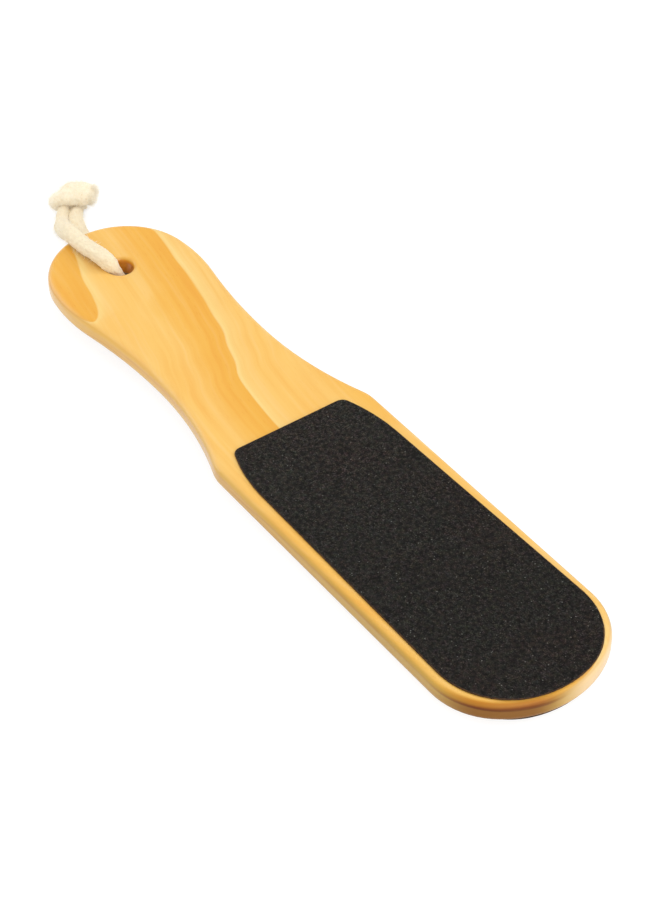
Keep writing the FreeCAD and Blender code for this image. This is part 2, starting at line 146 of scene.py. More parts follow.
def laid_cord(name, places, thick, seed, squeeze, groove=YARN_GROOVE):
    """A soft cord of yarns laid round a line, as a mesh; squeeze gives its
    thickness at each share of its length, and the yarns wander a little."""
    line, along = even_steps(smooth_line(name, places), CORD_STEP)
    side, over = carried_frames(line)
    chance = np.random.default_rng(seed)
    angle = np.linspace(0, math.tau, CORD_SIDES, endpoint=False)[None, :]
    run = along[:, None]
    wander = sum(
        chance.uniform(0.02, 0.05) * np.sin(run * math.tau / length + chance.uniform(0, math.tau))
        for length in YARN_WAVES
    )
    laid = angle + run * math.tau / LAY_LENGTH + wander * 3
    yarn = laid * YARNS / math.tau
    across = 2 * (yarn % 1) - 1
    crown = np.sqrt(np.clip(1 - 0.94 * across ** 2, 0, 1))
    swell = chance.uniform(-1, 1, (YARNS, 5))
    number = np.floor(yarn).astype(int) % YARNS
    phase = run * math.tau / YARN_SWELL_LENGTH
    uneven = 0.6 * swell[number, 0] + 0.5 * swell[number, 1] * np.sin(phase + 6 * swell[number, 2])
    uneven = uneven + 0.4 * swell[number, 3] * np.sin(2.7 * phase + 6 * swell[number, 4])
    half = thick / 2 * np.interp(along / along[-1], *squeeze)[:, None]
    radius = half * (1 + wander * 0.35) - groove * (1 - crown) + groove * 0.28 * uneven
    radius = np.minimum(radius, half * 1.03)
    ring = side[:, None] * np.cos(angle)[..., None] + over[:, None] * np.sin(angle)[..., None]
    shell = line[:, None] + ring * radius[..., None]
    for place, out in zip(shell.reshape(-1, 3), ring.reshape(-1, 3)):
        place += out * (lump_at(Vector(place) * LEG_LUMPS_PER_METRE, 2.4, 5.3) * LEG_LUMP)
    shell[..., 2] = np.maximum(shell[..., 2], 0.0)

    rows, sides = radius.shape
    corner = np.arange(rows * sides).reshape(rows, sides)
    following = np.roll(corner, -1, axis=1)
    quads = np.stack([corner[:-1], following[:-1], following[1:], corner[1:]], -1).reshape(-1, 4)
    faces = quads.tolist() + [corner[0, ::-1].tolist(), corner[-1].tolist()]
    mesh = bpy.data.meshes.new(name)
    mesh.from_pydata(shell.reshape(-1, 3).tolist(), [], faces)
    mesh.polygons.foreach_set("use_smooth", [True] * len(faces))
    fibre = mesh.uv_layers.new(name="fibre")
    turn = np.arange(sides)[None, :] / sides + run / LAY_LENGTH
    turn_after = turn + 1 / sides
    reach = np.broadcast_to(run, radius.shape)
    unrolled = np.stack([
        np.stack([reach[:-1], turn[:-1]], -1),
        np.stack([reach[:-1], turn_after[:-1]], -1),
        np.stack([reach[1:], turn_after[1:]], -1),
        np.stack([reach[1:], turn[1:]], -1),
    ], 2).reshape(-1, 2)
    unrolled[:, 0] *= CENTIMETRES
    ends = np.zeros((2 * sides, 2))
    fibre.data.foreach_set("uv", np.concatenate([unrolled, ends]).ravel())
    piece = bpy.data.objects.new(name, mesh)
    bpy.context.scene.collection.objects.link(piece)
    return piece, line, side, over


def new_node(tree, kind, **settings):
    """A node with its properties set; a socket is set by its name or number."""
    node = tree.nodes.new(f"ShaderNode{kind}")
    sockets = settings.pop("sockets", {})
    for key, value in settings.items():
        setattr(node, key, value)
    for key, value in sockets.items():
        if isinstance(value, bpy.types.NodeSocket):
            tree.links.new(value, node.inputs[key])
        else:
            node.inputs[key].default_value = value
    return node


def sum_of(tree, operation, *values, clamp=False):
    """One sum on numbers, and its result."""
    sockets = dict(enumerate(values))
    return new_node(tree, "Math", operation=operation, use_clamp=clamp, sockets=sockets).outputs[0]


def spread(tree, value, low, high, to_low, to_high, smooth=False):
    """A value carried from one range to another, held at its ends."""
    kind = "SMOOTHSTEP" if smooth else "LINEAR"
    ranges = {0: value, 1: low, 2: high, 3: to_low, 4: to_high}
    return new_node(tree, "MapRange", interpolation_type=kind, sockets=ranges).outputs[0]


def blend_of(tree, blend, share, first, second):
    """Two colours mixed."""
    sockets = {0: share, 6: first, 7: second}
    return new_node(tree, "Mix", data_type="RGBA", blend_type=blend, sockets=sockets).outputs[2]


def new_material(name):
    """A material with one Principled BSDF, and that shader."""
    material = bpy.data.materials.new(name)
    material.use_nodes = True
    return material, material.node_tree, material.node_tree.nodes["Principled BSDF"]


def noise_of(tree, where, scale, detail=2.0):
    """Smooth noise that runs over the surface, from 0 to 1."""
    sockets = {"Vector": where, "Scale": scale, "Detail": detail}
    return new_node(tree, "TexNoise", sockets=sockets).outputs[0]


def stretched(tree, where, scale):
    """Places scaled axis by axis, so that a pattern on them is drawn out."""
    return new_node(tree, "Mapping", sockets={"Vector": where, "Scale": scale}).outputs[0]


def group_socket(group, name, way, kind="NodeSocketFloat", value=None):
    """A named socket on a group."""
    socket = group.interface.new_socket(name, in_out=way, socket_type=kind)
    if value is not None:
        socket.default_value = value


CORD_CREAM = (0.975, 0.85, 0.605, 1)
CORD_SHADE = (0.895, 0.735, 0.495, 1)
SEED_SPECK = (0.80, 0.66, 0.42, 1)
CREVICE_PAINTED_SHADE = (0.56, 0.40, 0.19, 1)
CREVICE_DEPTH = 0.0035
FIBRE_STRETCH = (9.0, 150.0, 1.0)
FIBRE_RELIEF = 0.0004

cotton_fibre = bpy.data.node_groups.new("cotton_fibre", "ShaderNodeTree")
group_socket(cotton_fibre, "Cream", "INPUT", "NodeSocketColor", CORD_CREAM)
group_socket(cotton_fibre, "Shade", "INPUT", "NodeSocketColor", CORD_SHADE)
group_socket(cotton_fibre, "Fleck", "INPUT", "NodeSocketFloat", 0.25)
group_socket(cotton_fibre, "Colour", "OUTPUT", "NodeSocketColor")
group_socket(cotton_fibre, "Height", "OUTPUT")
given = cotton_fibre.nodes.new("NodeGroupInput").outputs
unrolled = new_node(cotton_fibre, "UVMap", uv_map="fibre").outputs[0]
hair = noise_of(cotton_fibre, stretched(cotton_fibre, unrolled, FIBRE_STRETCH), 1.0, 4.0)
where = new_node(cotton_fibre, "TexCoord").outputs["Object"]
patch = noise_of(cotton_fibre, where, 620.0, 3.0)
tone = spread(cotton_fibre, patch, 0.38, 0.64, 0.0, 1.0)
dark_hair = spread(cotton_fibre, hair, 0.56, 0.30, 0.0, 1.0)
deep = sum_of(cotton_fibre, "MULTIPLY", dark_hair, given["Fleck"])
deep = sum_of(cotton_fibre, "ADD", deep, sum_of(cotton_fibre, "MULTIPLY", tone, 0.50), clamp=True)
colour = blend_of(cotton_fibre, "MIX", deep, given["Cream"], given["Shade"])
speck = noise_of(cotton_fibre, where, 1300.0)
speck = spread(cotton_fibre, speck, 0.55, 0.70, 0.0, 0.45)
colour = blend_of(cotton_fibre, "MIX", speck, colour, SEED_SPECK)
# Painted shade: where ambient occlusion finds the cotton hemmed in, as where the legs run into the knot, it
# is tinted dark tan, mottled by the patch noise.
open_air = new_node(cotton_fibre, "AmbientOcclusion", samples=8, sockets={"Distance": CREVICE_DEPTH})
painted_crevice_shade = spread(cotton_fibre, open_air.outputs["AO"], 0.50, 0.20, 0.0, 0.65)
painted_crevice_shade = sum_of(cotton_fibre, "MULTIPLY", painted_crevice_shade, spread(cotton_fibre, patch, 0.40, 0.58, 0.25, 1.0))
colour = blend_of(cotton_fibre, "MIX", painted_crevice_shade, colour, CREVICE_PAINTED_SHADE)
tufts = {"Vector": where, "Scale": 1000.0, "Detail": 4.0, "Roughness": 0.7}
tuft = new_node(cotton_fibre, "TexNoise", sockets=tufts).outputs[0]
down = noise_of(cotton_fibre, where, 4200.0)
height = sum_of(cotton_fibre, "MULTIPLY", tuft, 1.1)
height = sum_of(cotton_fibre, "ADD", height, sum_of(cotton_fibre, "MULTIPLY", down, 0.45))
height = sum_of(cotton_fibre, "ADD", height, sum_of(cotton_fibre, "MULTIPLY", hair, 0.35))
result = cotton_fibre.nodes.new("NodeGroupOutput").inputs
cotton_fibre.links.new(colour, result["Colour"])
cotton_fibre.links.new(height, result["Height"])


def cotton(name, fleck, depth, scatter, cream=CORD_CREAM, shade=CORD_SHADE):
    """Undyed cotton: matt, a little sheen, fine fibres along the yarn. Light
    scatters in it by a share, over a distance, and for each colour."""
    material, tree, shader = new_material(name)
    shader.inputs["Roughness"].default_value = 0.92
    shader.inputs["Sheen Weight"].default_value = 0.25
    shader.inputs["Sheen Roughness"].default_value = 0.6
    shader.inputs["Specular IOR Level"].default_value = 0.15
    for socket, value in zip(("Subsurface Weight", "Subsurface Scale", "Subsurface Radius"), scatter):
        shader.inputs[socket].default_value = value
    fibres = tree.nodes.new("ShaderNodeGroup")
    fibres.node_tree = cotton_fibre
    for socket, value in (("Cream", cream), ("Shade", shade), ("Fleck", fleck)):
        fibres.inputs[socket].default_value = value
    relief = {"Strength": depth, "Distance": FIBRE_RELIEF, "Height": fibres.outputs["Height"]}
    bump = new_node(tree, "Bump", sockets=relief)
    tree.links.new(fibres.outputs["Colour"], shader.inputs["Base Color"])
    tree.links.new(bump.outputs[0], shader.inputs["Normal"])
    return material


cord_cotton = cotton("cord_cotton", fleck=0.45, depth=1.0, scatter=(0.15, 0.0012, (1.0, 0.9, 0.8)))
FRONT_SQUEEZE = ((0.0, 0.09, 0.135, 0.24, 0.80, 0.90, 1.0), (0.92, 0.82, 1.0, 1.0, 1.0, 0.84, 0.80))
REAR_SQUEEZE = ((0.0, 0.08, 0.18, 0.80, 0.92, 1.0), (0.62, 0.84, 0.98, 1.0, 0.86, 0.80))
front_leg, *front_course = laid_cord("front_leg", FRONT_LEG, CORD_THICK, 3, FRONT_SQUEEZE)
rear_leg, *rear_course = laid_cord("rear_leg", REAR_LEG, CORD_THICK, 8, REAR_SQUEEZE)
for leg, node in ((front_leg, "cord_front_leg"), (rear_leg, "cord_rear_leg")):
    leg.data.materials.append(cord_cotton)
    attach(leg, "hanging_loop")
    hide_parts(node)


# The knot. Both legs run into it side by side, and two snug turns of the same
# cord wrap them, pressed together into one soft, fuzzy mass. Each turn ends
# on the far side in a cut, frayed end.
KNOT_MIDDLE = Vector((-0.15930, 0.01290, 0.0))
NEAR_TURN = [
    (-0.0006, 0.0032, 0.0032),
    (-0.0012, -0.0010, 0.0030),
    (-0.0017, -0.0060, 0.0042),
    (-0.0020, -0.0060, 0.0068),
    (-0.0020, -0.0012, 0.0068),
    (-0.0018, 0.0034, 0.0068),
    (-0.0014, 0.0072, 0.0070),
]
FAR_TURN = [
    (0.0014, 0.0044, 0.0026),
    (0.0016, -0.0006, 0.0025),
    (0.0018, -0.0016, 0.0034),
    (0.0018, -0.0022, 0.0076),
    (0.0018, 0.0000, 0.0084),
    (0.0017, 0.0040, 0.0083),
    (0.0014, 0.0078, 0.0076),
]
INNER_PASS = [
    (0.0000, 0.0020, 0.0034),
    (0.0000, -0.0036, 0.0034),
    (0.0000, -0.0040, 0.0072),
    (0.0000, 0.0000, 0.0078),
    (0.0000, 0.0080, 0.0072),
]
TURNS = (("near_turn", NEAR_TURN, 21), ("far_turn", FAR_TURN, 34), ("inner_pass", INNER_PASS, 13))
TURN_THICK = 0.0056
TURN_GROOVE = 0.00030
TURN_SQUEEZE = ((0.0, 0.25, 0.5, 0.86, 1.0), (0.70, 0.75, 1.0, 1.0, 0.66))
END_STEPS = 12
KNOT_GRAIN = 0.00026
KNOT_EASING = 34
KNOT_LUMP = 0.00060
KNOT_LUMPS_PER_METRE = 560


def in_knot(place):
    """A place given along the legs, across them and above the table."""
    run, across, height = place
    return KNOT_MIDDLE + KNOT_ALONG * run + KNOT_ACROSS * across + Vector((0, 0, height))


turns = []
turn_ends = []
for name, route, seed in TURNS:
    places = [in_knot(place) for place in route]
    turn, line, side, over = laid_cord(name, places, TURN_THICK, seed, TURN_SQUEEZE, TURN_GROOVE)
    turns.append(turn)
    turn_ends.append((line[-1], line[-1] - line[-END_STEPS], side[-1], over[-1]))


def pressed_together(name, parts):
    """Soft parts run together into one skin, eased, and a little lumpy."""
    points, faces, first = [], [], 0
    for part in parts:
        points += [vertex.co[:] for vertex in part.data.vertices]
        faces += [[corner + first for corner in face.vertices] for face in part.data.polygons]
        first = len(points)
        bpy.data.meshes.remove(part.data)
    loose = bpy.data.meshes.new(f"{name}_loose")
    loose.from_pydata(points, [], faces)
    holder = bpy.data.objects.new(f"{name}_loose", loose)
    bpy.context.scene.collection.objects.link(holder)
    skin = holder.modifiers.new("skin", "REMESH")
    skin.mode = "VOXEL"
    skin.voxel_size = KNOT_GRAIN
    ease = holder.modifiers.new("ease", "SMOOTH")
    ease.factor = 0.5
    ease.iterations = KNOT_EASING
    mesh = bpy.data.meshes.new_from_object(holder.evaluated_get(bpy.context.evaluated_depsgraph_get()))
    bpy.data.objects.remove(holder)
    bpy.data.meshes.remove(loose)
    mesh.name = name
    for vertex in mesh.vertices:
        push = lump_at(vertex.co * KNOT_LUMPS_PER_METRE, 2.2, 5.1)
        vertex.co += vertex.normal * push * KNOT_LUMP
        vertex.co.z = max(vertex.co.z, 0.0)
    mesh.polygons.foreach_set("use_smooth", [True] * len(mesh.polygons))
    piece = bpy.data.objects.new(name, mesh)
    bpy.context.scene.collection.objects.link(piece)
    return piece


KNOT_CREAM = (0.98, 0.875, 0.69, 1)
KNOT_SHADE = (0.90, 0.76, 0.55, 1)
knot_cotton = cotton(
    "knot_cotton", fleck=0.0, depth=0.55, scatter=(0.40, 0.0025, (1.0, 0.98, 0.95)),
    cream=KNOT_CREAM, shade=KNOT_SHADE,
)
knot = pressed_together("knot", turns)
knot.data.materials.append(knot_cotton)
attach(knot, "hanging_loop")
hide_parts("cord_knot")
knot_pieces = [knot]


# The frayed ends. Past the knot the twelve yarns of each cut end come apart
# and open into a brush of loose cotton fibres.
YARN_THICK = 0.0007
FIBRE_THICK = 0.00006
FRAY_LENGTH = 0.0013
FRAY_ROOT = 0.0012
FRAY_CORE = 0.35
FRAY_EXTRA = 0.0015
FRAY_DROOP = Vector((0, 0, -0.01))
YARN_SPRAY = (0.25, 0.10)
FIBRE_SPRAY = (0.45, 0.24)
FRAY_FIBRES = 700
FRAY_STEPS = 5
ABOVE_TABLE = 0.0006
LEG_FUZZ = 1800
KNOT_FUZZ = 2200
FRONT_HIDDEN = 40
REAR_HIDDEN = 60
STRAY_REACH = (0.0005, 0.0016)
STRAY_CURL = 0.0004
LEG_DEPTH = 0.0003
SKIN_DEPTH = 0.0001
LOWEST_STRAY = 0.0001
FLUFF_PALE = (1.00, 0.96, 0.85, 1)
FLUFF_CREAM = (0.97, 0.89, 0.72, 1)

loose_cotton, loose_tree, loose_shader = new_material("loose_cotton")
loose_shader.inputs["Roughness"].default_value = 0.95
loose_shader.inputs["Sheen Weight"].default_value = 0.3
loose_shader.inputs["Specular IOR Level"].default_value = 0.15
loose_place = new_node(loose_tree, "TexCoord").outputs["Object"]
loose_noise = noise_of(loose_tree, loose_place, 900.0)
loose_colour = blend_of(loose_tree, "MIX", loose_noise, FLUFF_PALE, FLUFF_CREAM)
loose_tree.links.new(loose_colour, loose_shader.inputs["Base Color"])


def strands(name, paths, thick, sides=0):
    """Fine strands, each a smooth line, as one piece."""
    line = bpy.data.curves.new(name, "CURVE")
    line.dimensions = "3D"
    line.resolution_u = 3
    line.bevel_depth = thick / 2
    line.bevel_resolution = sides
    line.use_fill_caps = True
    for path in paths:
        spline = line.splines.new("NURBS")
        spline.points.add(len(path) - 1)
        for number, (point, place) in enumerate(zip(spline.points, path)):
            point.co = (*place, 1)
            point.radius = 1 - 0.55 * number / (len(path) - 1)
        spline.order_u = 3
        spline.use_endpoint_u = True
    piece = bpy.data.objects.new(name, line)
    bpy.context.scene.collection.objects.link(piece)
    line.materials.append(loose_cotton)
    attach(piece, "hanging_loop")
    return piece


def any_way(chance):
    """A chance direction, from -1 to 1 along each axis."""
    return Vector((chance.uniform(-1, 1), chance.uniform(-1, 1), chance.uniform(-1, 1)))


def fray(end, chance, length, spray, wave):
    """One strand of a frayed end, from inside the cord outwards."""
    centre, forward, side, over = (Vector(part) for part in end)
    forward = forward.normalized()
    angle = chance.uniform(0, math.tau)
    reach = math.sqrt(chance.random())
    out = side * math.cos(angle) + over * math.sin(angle)
    place = centre - forward * (FRAY_ROOT + FRAY_ROOT * reach ** 2) + out * (reach * TURN_THICK * FRAY_CORE)
    heading = (forward + out * (reach * spray)).normalized()
    path = [place]
    for _ in range(FRAY_STEPS):
        heading = (heading + any_way(chance) * wave + FRAY_DROOP).normalized()
        place = place + heading * ((length + FRAY_EXTRA) / FRAY_STEPS)
        place.z = max(place.z, ABOVE_TABLE)
        path.append(place.copy())
    return path


chance = random.Random(5)
FRAYS = (("near_fray", "frayed_tail_near"), ("far_fray", "frayed_tail_far"))
for end, (name, node) in zip(turn_ends, FRAYS):
    yarn_paths = [
        fray(end, chance, FRAY_LENGTH * chance.uniform(0.3, 0.8), *YARN_SPRAY) for _ in range(YARNS)
    ]
    yarns = strands(f"{name}_yarns", yarn_paths, YARN_THICK, sides=2)
    fibre_paths = [
        fray(end, chance, FRAY_LENGTH * chance.uniform(0.2, 1.3) ** 2, *FIBRE_SPRAY)
        for _ in range(FRAY_FIBRES)
    ]
    fibres = strands(f"{name}_fibres", fibre_paths, FIBRE_THICK)
    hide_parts(node)
    knot_pieces += [yarns, fibres]


def stray_fibre(place, out, ahead, chance):
    """A short fibre that has worked loose and stands off the cotton."""
    lean = ahead * chance.uniform(-1, 1) + out * chance.uniform(0.15, 0.9)
    lean = lean.normalized() * chance.uniform(*STRAY_REACH)
    curl = any_way(chance) * STRAY_CURL
    path = [place, place + lean * 0.5, place + lean + curl, place + lean * 1.3 + curl * 2]
    for point in path:
        point.z = max(point.z, LOWEST_STRAY)
    return path


def leg_fibres(lines, count, chance):
    """Stray fibres all round the legs."""
    paths = []
    for _ in range(count):
        line, side, over = chance.choice(lines)
        number = chance.randrange(4, len(line) - 4)
        angle = chance.uniform(0, math.tau)
        out = Vector(side[number]) * math.cos(angle) + Vector(over[number]) * math.sin(angle)
        ahead = Vector(line[number + 2] - line[number - 2]).normalized()
        root = Vector(line[number]) + out * (CORD_THICK / 2 - LEG_DEPTH)
        paths.append(stray_fibre(root, out, ahead, chance))
    return paths


def skin_fibres(mesh, count, chance):
    """Stray fibres all over a soft mass."""
    paths = []
    for _ in range(count):
        vertex = mesh.vertices[chance.randrange(len(mesh.vertices))]
        aside = Vector((chance.uniform(-1, 1), chance.uniform(-1, 1), 0.3))
        ahead = vertex.normal.cross(aside).normalized()
        root = vertex.co - vertex.normal * SKIN_DEPTH
        paths.append(stray_fibre(root, vertex.normal.copy(), ahead, chance))
    return paths


free_front = [part[FRONT_HIDDEN:] for part in front_course]
free_rear = [part[REAR_HIDDEN:] for part in rear_course]
leg_fuzz = strands("leg_fuzz", leg_fibres([free_front, free_rear], LEG_FUZZ, chance), FIBRE_THICK)
knot_fuzz = strands("knot_fuzz", skin_fibres(knot.data, KNOT_FUZZ, chance), FIBRE_THICK)


# The paddle. One piece of flat-sawn pine, shaped, sanded and lacquered. Its
# wide annual rings run the length of the handle: each darkens slowly to
# orange and stops at a sharp line where the next year's pale wood begins.
TILT = math.atan2(0.0054, 0.2350)
WOOD_BASE = (-0.0000862, 0.0, 0.0035516)
RING_LINE = [
    (-0.130, 0.0215), (-0.118, 0.0202), (-0.106, 0.0185), (-0.098, 0.0168), (-0.090, 0.0155),
    (-0.082, 0.0138), (-0.074, 0.0122), (-0.066, 0.0102), (-0.058, 0.0085), (-0.050, 0.0052),
    (-0.042, 0.0028), (-0.034, -0.0005), (-0.026, -0.0018), (-0.018, -0.0028), (-0.010, -0.0035),
    (0.020, -0.0038), (0.060, 0.0020), (0.100, 0.0110), (0.130, 0.0180),
]
RING_WIDTH = [
    (-0.130, 0.0290), (-0.122, 0.0296), (-0.115, 0.0312), (-0.106, 0.0331), (-0.098, 0.0332),
    (-0.090, 0.0345), (-0.087, 0.0360), (-0.084, 0.0400), (-0.079, 0.0415), (-0.074, 0.0380),
    (-0.066, 0.0350), (-0.058, 0.0330), (-0.050, 0.0310), (-0.042, 0.0290), (-0.034, 0.0270),
    (-0.026, 0.0270), (-0.010, 0.0280), (0.006, 0.0300), (0.030, 0.0600), (0.130, 0.1000),
]
RING_DEPTH = 0.0052
WOOD_END = 0.130
WOOD_TOP = 0.0075
HOLE_PLACE = (-0.1065, 0.0)
HOLE_RADIUS = 0.0044
GRAIN_WAVE = (0.0, 0.0008, 0.0003)
STREAK_STRETCH = (16.0, 520.0, 520.0)
CLOUD_STRETCH = (34.0, 100.0, 100.0)
CANAL_STRETCH = (170.0, 1300.0, 1300.0)
BAND_STRETCH = (14.0, 40.0, 420.0)
FADE_STRETCH = (26.0, 26.0, 60.0)
STREAK_DARK = (0.96, 0.82, 0.62, 1)
STREAK_PALE = (0.04, 0.09, 0.09, 1)
CLOUD_WARM = (0.98, 0.90, 0.76, 1)
RESIN_CANAL = (0.88, 0.66, 0.38, 1)
SIDE_WOOD = (0.710, 0.400, 0.055, 1)
SIDE_PAINTED_SHADE_TO_TIP = (0.70, 0.74, 0.75, 1)
BAND_SHADE = (0.80, 0.58, 0.34, 1)
END_GRAIN_AND_SHADE_TOP = (0.450, 0.168, 0.012, 1)
END_GRAIN_AND_SHADE_LOW = (0.225, 0.088, 0.012, 1)
TIP_PAINTED_HIGHLIGHT = (0.860, 0.620, 0.340, 1)
LATE_WOOD = (0.74, 0.55, 0.34, 1)
TIP_RING_HEIGHT = 0.0057
TIP_RING_SHADE = (0.52, 0.34, 0.13, 1)
HOLE_GRAIN_AND_BOUNCE = (1.00, 0.72, 0.34, 1)

pine, tree, shader = new_material("lacquered_pine")
shader.inputs["Coat Roughness"].default_value = 0.22
shader.inputs["Specular IOR Level"].default_value = 0.22

coordinates = new_node(tree, "TexCoord")
laid_flat = new_node(tree, "Mapping", vector_type="TEXTURE")
laid_flat.inputs["Location"].default_value = WOOD_BASE
laid_flat.inputs["Rotation"].default_value = (0, TILT, 0)
tree.links.new(coordinates.outputs["Object"], laid_flat.inputs["Vector"])
flat = laid_flat.outputs[0]
wave = new_node(tree, "TexNoise", sockets={"Vector": flat, "Scale": 22.0, "Detail": 2.0}).outputs["Color"]
wave = new_node(tree, "VectorMath", operation="SUBTRACT", sockets={0: wave, 1: (0.5, 0.5, 0.5)}).outputs[0]
wave = new_node(tree, "VectorMath", operation="MULTIPLY", sockets={0: wave, 1: GRAIN_WAVE}).outputs[0]
flat = new_node(tree, "VectorMath", operation="ADD", sockets={0: flat, 1: wave}).outputs[0]
axes = new_node(tree, "SeparateXYZ", sockets={0: flat}).outputs


def along_handle(tree, run, rows, low, high):
    """A curve over the length of the wood, through rows of place and value."""
    share = spread(tree, run, -WOOD_END, WOOD_END, 0.0, 1.0)
    curve = new_node(tree, "FloatCurve", sockets={1: share})
    points = curve.mapping.curves[0].points
    while len(points) < len(rows):
        points.new(0.5, 0.5)
    for point, (x, value) in zip(points, rows):
        point.location = ((x + WOOD_END) / (2 * WOOD_END), (value - low) / (high - low))
    curve.mapping.update()
    return spread(tree, curve.outputs[0], 0.0, 1.0, low, high)


ring_y = along_handle(tree, axes[0], RING_LINE, -0.030, 0.030)
ring_width = along_handle(tree, axes[0], RING_WIDTH, 0.020, 0.110)
off_line = sum_of(tree, "SUBTRACT", axes[1], ring_y)
years = sum_of(tree, "DIVIDE", off_line, ring_width)
slower = sum_of(tree, "ADD", sum_of(tree, "MULTIPLY", years, 0.5), 0.12)
years = sum_of(tree, "MINIMUM", years, slower)
down = sum_of(tree, "SUBTRACT", WOOD_TOP, axes[2])
years = sum_of(tree, "ADD", years, sum_of(tree, "DIVIDE", down, RING_DEPTH))
season = sum_of(tree, "FRACT", years)

seasons = new_node(tree, "ValToRGB", sockets={0: season})
ramp = seasons.color_ramp.elements
SEASON_COLOURS = [
    (0.000, (0.750, 0.385, 0.055)),
    (0.018, (0.795, 0.560, 0.195)),
    (0.050, (0.795, 0.550, 0.186)),
    (0.100, (0.795, 0.508, 0.152)),
    (0.200, (0.795, 0.480, 0.124)),
    (0.300, (0.795, 0.472, 0.111)),
    (0.420, (0.795, 0.472, 0.112)),
    (0.500, (0.795, 0.482, 0.124)),
    (0.550, (0.792, 0.477, 0.118)),
    (0.620, (0.775, 0.436, 0.084)),
    (0.720, (0.765, 0.408, 0.062)),
    (0.850, (0.752, 0.387, 0.049)),
    (1.000, (0.745, 0.376, 0.045)),
]
ramp[0].position, ramp[0].color = SEASON_COLOURS[0][0], (*SEASON_COLOURS[0][1], 1)
ramp[1].position, ramp[1].color = SEASON_COLOURS[-1][0], (*SEASON_COLOURS[-1][1], 1)
for position, tint in SEASON_COLOURS[1:-1]:
    ramp.new(position).color = (*tint, 1)
wood_colour = seasons.outputs[0]

grain_way = new_node(tree, "CombineXYZ", sockets={0: axes[0], 1: off_line, 2: axes[2]}).outputs[0]
streak = noise_of(tree, stretched(tree, grain_way, STREAK_STRETCH), 1.0, 5.0)
streak_dark = spread(tree, streak, 0.50, 0.72, 0.0, 0.48)
wood_colour = blend_of(tree, "MULTIPLY", streak_dark, wood_colour, STREAK_DARK)
streak_pale = spread(tree, streak, 0.48, 0.28, 0.0, 0.42)
wood_colour = blend_of(tree, "SCREEN", streak_pale, wood_colour, STREAK_PALE)
cloud = noise_of(tree, stretched(tree, grain_way, CLOUD_STRETCH), 1.0, 3.0)
cloud_warm = spread(tree, cloud, 0.42, 0.68, 0.0, 0.60)
wood_colour = blend_of(tree, "MULTIPLY", cloud_warm, wood_colour, CLOUD_WARM)
canal_way = stretched(tree, grain_way, CANAL_STRETCH)
canal = new_node(tree, "TexVoronoi", sockets={"Vector": canal_way, "Scale": 1.0}).outputs["Distance"]
canal_mark = spread(tree, canal, 0.20, 0.05, 0.0, 0.40)
canal_mark = sum_of(tree, "MULTIPLY", canal_mark, spread(tree, season, 0.30, 0.80, 0.30, 1.0))
wood_colour = blend_of(tree, "MULTIPLY", canal_mark, wood_colour, RESIN_CANAL)

normal_axes = new_node(tree, "SeparateXYZ", sockets={0: coordinates.outputs["Normal"]}).outputs
upright = sum_of(tree, "ABSOLUTE", normal_axes[2])
side_grain = spread(tree, upright, 0.94, 0.42, 0.0, 1.0, smooth=True)


def at_tip(tree, axes, run, across):
    """A mask that grows along the blade and across it, each from place to place."""
    along_it = spread(tree, axes[0], *run, 0.0, 1.0, smooth=True)
    return sum_of(tree, "MULTIPLY", along_it, spread(tree, axes[1], *across, 0.0, 1.0, smooth=True))


end_grain = at_tip(tree, axes, (0.104, 0.119), (0.000, -0.012))
end_grain = sum_of(tree, "MULTIPLY", end_grain, spread(tree, upright, 0.97, 0.72, 0.0, 1.0, smooth=True))
# Painted highlight: the side wall at the far corner of the tip is painted pale, as if catching light from the
# right.
painted_tip_highlight = sum_of(tree, "MULTIPLY", at_tip(tree, axes, (0.110, 0.125), (-0.006, 0.008)), side_grain)
wood_colour = blend_of(tree, "MIX", sum_of(tree, "MULTIPLY", side_grain, 0.75), wood_colour, SIDE_WOOD)
# Painted shade: the side walls are painted darker along the blade towards the tip, where less light reaches
# them.
painted_shade_toward_tip = sum_of(tree, "MULTIPLY", spread(tree, axes[0], -0.05, 0.08, 0.0, 1.0), side_grain)
wood_colour = blend_of(tree, "MULTIPLY", painted_shade_toward_tip, wood_colour, SIDE_PAINTED_SHADE_TO_TIP)
band = noise_of(tree, stretched(tree, flat, BAND_STRETCH), 1.0, 3.0)
band_dark = sum_of(tree, "MULTIPLY", spread(tree, band, 0.46, 0.68, 0.0, 0.42, smooth=True), side_grain)
wood_colour = blend_of(tree, "MULTIPLY", band_dark, wood_colour, BAND_SHADE)
fade = noise_of(tree, stretched(tree, flat, FADE_STRETCH), 1.0, 1.0)
late_line = spread(tree, sum_of(tree, "PINGPONG", years, 0.5), 0.17, 0.0, 0.0, 1.0, smooth=True)
late_line = sum_of(tree, "MULTIPLY", late_line, spread(tree, fade, 0.40, 0.62, 0.05, 0.85))
late_line = sum_of(tree, "MULTIPLY", late_line, side_grain)
late_line = sum_of(tree, "MULTIPLY", late_line, spread(tree, end_grain, 0.0, 1.0, 0.40, 1.0))
